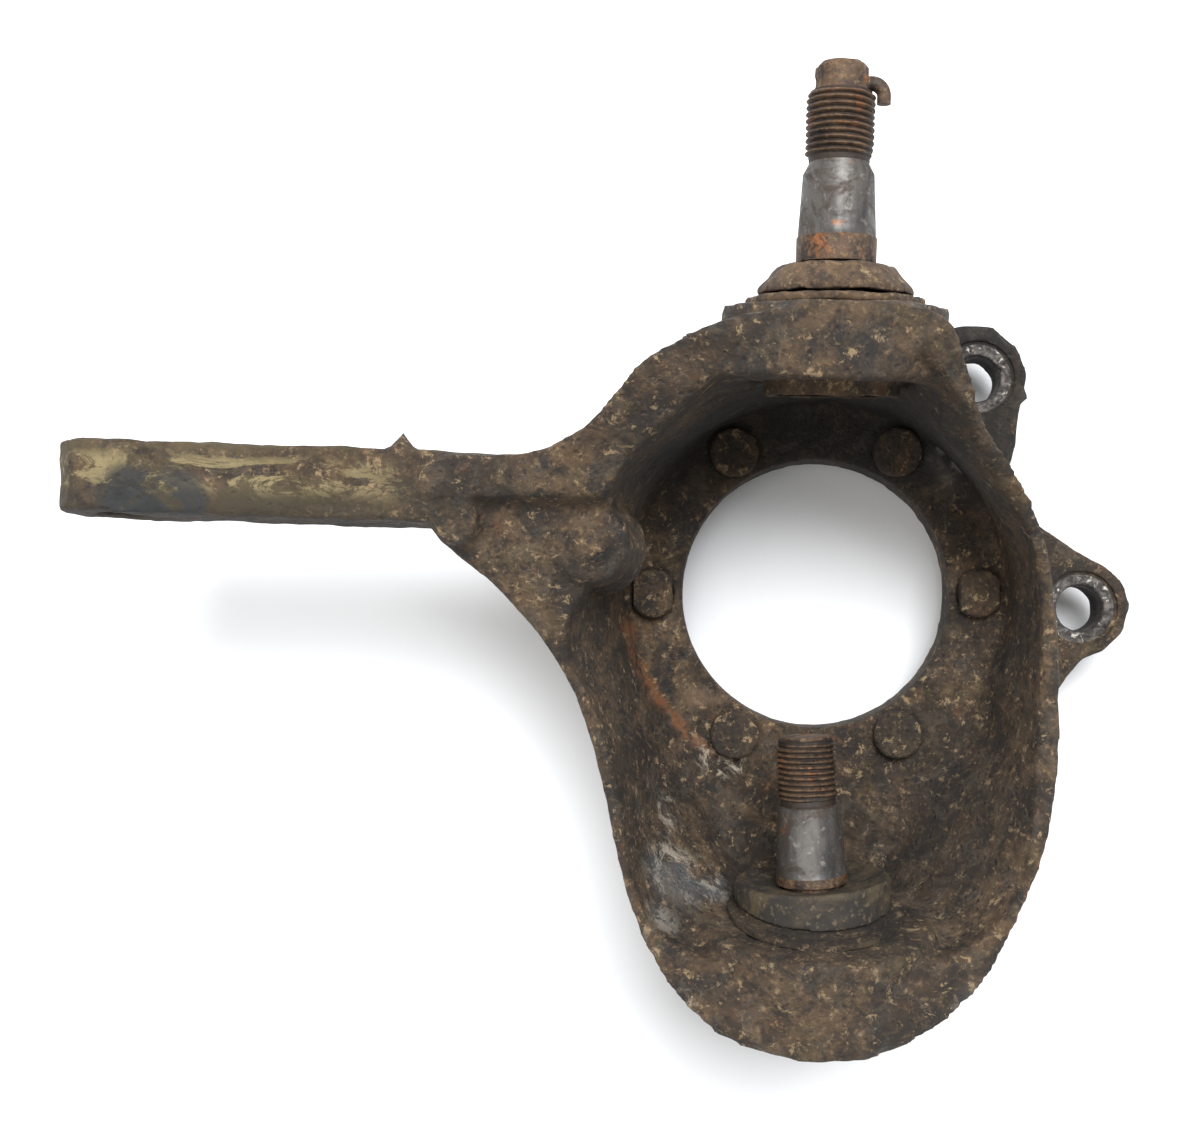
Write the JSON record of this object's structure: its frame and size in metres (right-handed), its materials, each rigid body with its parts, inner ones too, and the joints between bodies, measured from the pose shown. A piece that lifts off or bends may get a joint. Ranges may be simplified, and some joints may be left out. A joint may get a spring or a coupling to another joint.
{
  "type": "steering knuckle",
  "caption": "Cast steering knuckle of a driven front axle with tie-rod arm, caliper ears, spindle studs and both ball joints",
  "frame": {"origin": "centre of the spindle bore on the outboard machined face of the flange", "axes": "+Z along the spindle bore to the inboard side, +Y up towards the upper ball joint, +X towards the caliper ears; the steering arm points to -X"},
  "size_m": [0.2753, 0.2326, 0.1103],
  "materials": {
    "rusted_casting": "rusted rough casting with caked dirt",
    "rusted_stud": "rusted",
    "rusted_housing": "rusted",
    "dark_housing": "dark, greasy",
    "bright_stud": "bright taper with light rust in the thread",
    "bearing_liner": "smooth",
    "spring_steel": "dull",
    "fitting_steel": "dull plated",
    "boot_rubber": "dusty",
    "cotter_wire": "rusted"
  },
  "bodies": {
    "knuckle": {"knuckle_casting": "rusted_casting", "spindle_stud_1": "rusted_stud", "spindle_stud_2": "rusted_stud", "spindle_stud_3": "rusted_stud", "spindle_stud_4": "rusted_stud", "spindle_stud_5": "rusted_stud", "spindle_stud_6": "rusted_stud", "upper_joint_housing": "rusted_housing", "upper_bearing_cap": "bearing_liner", "upper_bearing_seat": "bearing_liner", "upper_preload_spring": "spring_steel", "upper_cover_plate": "rusted_housing", "lower_joint_housing": "dark_housing", "lower_bearing_cap": "bearing_liner", "lower_bearing_seat": "bearing_liner", "lower_preload_spring": "spring_steel", "lower_cover_plate": "dark_housing", "lower_grease_fitting": "fitting_steel", "lower_snap_ring": "spring_steel"},
    "upper_boot_swing": {"upper_boot": "boot_rubber"},
    "upper_stud": {"upper_ball_stud": "bright_stud", "upper_cotter_pin": "cotter_wire"},
    "lower_boot_swing": {"lower_boot": "boot_rubber"},
    "lower_stud": {"lower_ball_stud": "bright_stud"}
  },
  "joints": [
    {"name": "upper_swing", "type": "hinge", "parent": "knuckle", "child": "upper_boot_swing", "pos_m": [-0.00058, 0.05859, 0.07003], "axis": [0.0027, 0.1736, -0.9848], "range_deg": [-16, 16], "deforming": ["upper_boot"]},
    {"name": "upper_spin", "type": "hinge", "parent": "upper_boot_swing", "child": "upper_stud", "pos_m": [-0.00058, 0.05859, 0.07003], "axis": [0.0155, 0.9847, 0.1736], "continuous": true},
    {"name": "lower_swing", "type": "hinge", "parent": "knuckle", "child": "lower_boot_swing", "pos_m": [-0.00292, -0.09059, 0.04372], "axis": [0.0027, 0.1736, -0.9848], "range_deg": [-11, 18], "deforming": ["lower_boot"]},
    {"name": "lower_spin", "type": "hinge", "parent": "lower_boot_swing", "child": "lower_stud", "pos_m": [-0.00292, -0.09059, 0.04372], "axis": [-0.0454, 0.999, 0], "continuous": true}
  ]
}
